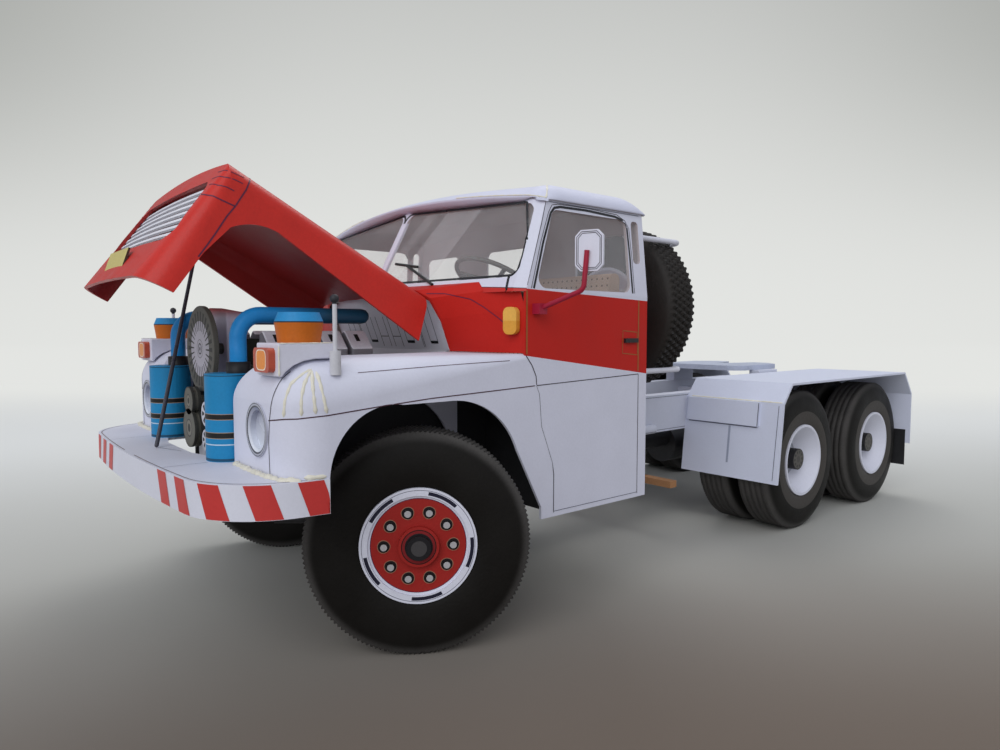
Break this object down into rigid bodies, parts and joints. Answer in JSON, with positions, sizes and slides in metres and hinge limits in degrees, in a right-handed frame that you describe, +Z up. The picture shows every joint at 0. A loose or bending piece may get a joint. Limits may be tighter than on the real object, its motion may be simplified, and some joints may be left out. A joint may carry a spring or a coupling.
{
  "type": "card model semi truck tractor unit",
  "caption": "Card scale model of a bonneted three-axle semi truck tractor with an open bonnet, steered front wheels, twin rear wheels and a fifth wheel.",
  "frame": {"origin": "on the ground under the middle of the model, with the bonnet propped open", "axes": "+Z up, -Y towards the truck's front, +X towards its left side"},
  "size_m": [0.0982, 0.2024, 0.0759],
  "materials": {
    "filter_blue": "blue card",
    "lamp_amber": "amber lens",
    "axle_black": "matt black card tube",
    "engine_grey": "dark grey card",
    "seat_tan": "brown card, stitched print",
    "plate_yellow": "blank yellow plate",
    "bonnet_red": "satin red card",
    "stay_steel": "pale wire",
    "bumper_white": "white card with slanted red stripes",
    "cabin_grey": "printed grey card",
    "body_white": "satin white card",
    "cab_side": "white card with a red band",
    "glazing": "clear film",
    "frame_white": "matt white card channel",
    "engine_white": "white card",
    "trim_black": "black wire",
    "coupling_grey": "pale grey card",
    "firewall_white": "white card with printed lines",
    "slat_white": "white card slats",
    "lamp_silver": "printed silver lens",
    "bar_tan": "bare brown card",
    "arm_red": "red wire",
    "mirror_white": "white card back, silver face",
    "lining_black": "matt black card",
    "hoop_white": "white wire",
    "wheel_white": "matt white card dish",
    "tyre": "matt black printed card, ribbed tread",
    "front_wheel_red": "printed red disc with a white ring"
  },
  "bodies": {
    "root": {"air_cleaners": "filter_blue", "amber_lamps": "lamp_amber", "backbone_tube": "axle_black", "belt_pulleys": "engine_grey", "bench_seat": "seat_tan", "bumper": "bumper_white", "cab_floor": "cabin_grey", "cab_front_frame": "body_white", "cab_rear_wall": "cab_side", "cab_roof": "body_white", "cab_sides": "cab_side", "cab_windows": "glazing", "chassis_frame": "frame_white", "cooling_fan": "engine_white", "cowl": "bonnet_red", "cylinder_heads": "engine_white", "dashboard": "cabin_grey", "door_handles": "trim_black", "engine_block": "engine_grey", "fifth_wheel_pedestals": "frame_white", "fifth_wheel_plate": "coupling_grey", "filter_bowls": "lamp_amber", "firewall": "firewall_white", "front_fenders": "body_white", "generator_and_drum": "engine_white", "half_axles": "axle_black", "headlights": "lamp_silver", "intake_pipes": "filter_blue", "lamp_boxes": "body_white", "lower_crossbar": "bar_tan", "marker_poles": "body_white", "mirror_arms": "arm_red", "mirrors": "mirror_white", "mud_flaps": "lining_black", "rear_mudguards": "body_white", "spare_hoops": "hoop_white", "spare_rim": "wheel_white", "spare_tyre": "tyre", "steering_wheel": "trim_black", "wheel_housings": "lining_black", "wipers": "trim_black"},
    "bonnet": {"bonnet": "bonnet_red", "grille_slats": "slat_white", "blank_plate": "plate_yellow"},
    "bonnet_stay": {"bonnet_stay": "stay_steel"},
    "knuckle_left": {"steering_knuckle_left": "axle_black"},
    "knuckle_right": {"steering_knuckle_right": "axle_black"},
    "front_wheel_left": {"tyre_front_left": "tyre", "wheel_front_left": "front_wheel_red"},
    "front_wheel_right": {"tyre_front_right": "tyre", "wheel_front_right": "front_wheel_red"},
    "twin_one_left": {"twin_tyres_one_left": "tyre", "twin_wheel_one_left": "wheel_white"},
    "twin_one_right": {"twin_tyres_one_right": "tyre", "twin_wheel_one_right": "wheel_white"},
    "twin_two_left": {"twin_tyres_two_left": "tyre", "twin_wheel_two_left": "wheel_white"},
    "twin_two_right": {"twin_tyres_two_right": "tyre", "twin_wheel_two_right": "wheel_white"}
  },
  "joints": [
    {"name": "bonnet_hinge", "type": "hinge", "parent": "root", "child": "bonnet", "pos_m": [0, -0.055, 0.0545], "axis": [1, 0, 0], "range_deg": [0, 31.5]},
    {"name": "stay_swing", "type": "hinge", "parent": "root", "child": "bonnet_stay", "pos_m": [-0.0018, -0.0938, 0.03003], "axis": [0.7631, -0.5751, -0.295], "range_deg": [0, 109]},
    {"name": "steer_left", "type": "hinge", "parent": "root", "child": "knuckle_left", "pos_m": [0.02725, -0.0625, 0.017], "axis": [0, 0, 1], "range_deg": [-2, 66]},
    {"name": "steer_right", "type": "hinge", "parent": "root", "child": "knuckle_right", "pos_m": [-0.02725, -0.0625, 0.017], "axis": [0, 0, 1], "range_deg": [-2, 66]},
    {"name": "roll_front_left", "type": "hinge", "parent": "knuckle_left", "child": "front_wheel_left", "pos_m": [0.02725, -0.0625, 0.017], "axis": [0.848, -0.5299, 0], "continuous": true},
    {"name": "roll_front_right", "type": "hinge", "parent": "knuckle_right", "child": "front_wheel_right", "pos_m": [-0.02725, -0.0625, 0.017], "axis": [0.848, -0.5299, 0], "continuous": true},
    {"name": "roll_one_left", "type": "hinge", "parent": "root", "child": "twin_one_left", "pos_m": [0.0305, 0.0426, 0.017], "axis": [1, 0, 0], "continuous": true},
    {"name": "roll_one_right", "type": "hinge", "parent": "root", "child": "twin_one_right", "pos_m": [-0.0305, 0.0426, 0.017], "axis": [1, 0, 0], "continuous": true},
    {"name": "roll_two_left", "type": "hinge", "parent": "root", "child": "twin_two_left", "pos_m": [0.0305, 0.0832, 0.017], "axis": [1, 0, 0], "continuous": true},
    {"name": "roll_two_right", "type": "hinge", "parent": "root", "child": "twin_two_right", "pos_m": [-0.0305, 0.0832, 0.017], "axis": [1, 0, 0], "continuous": true}
  ],
  "couplings": [
    {"joint": "steer_right", "follows": "steer_left", "ratio": 1},
    {"joint": "stay_swing", "follows": "bonnet_hinge", "ratio": 3.4603}
  ]
}
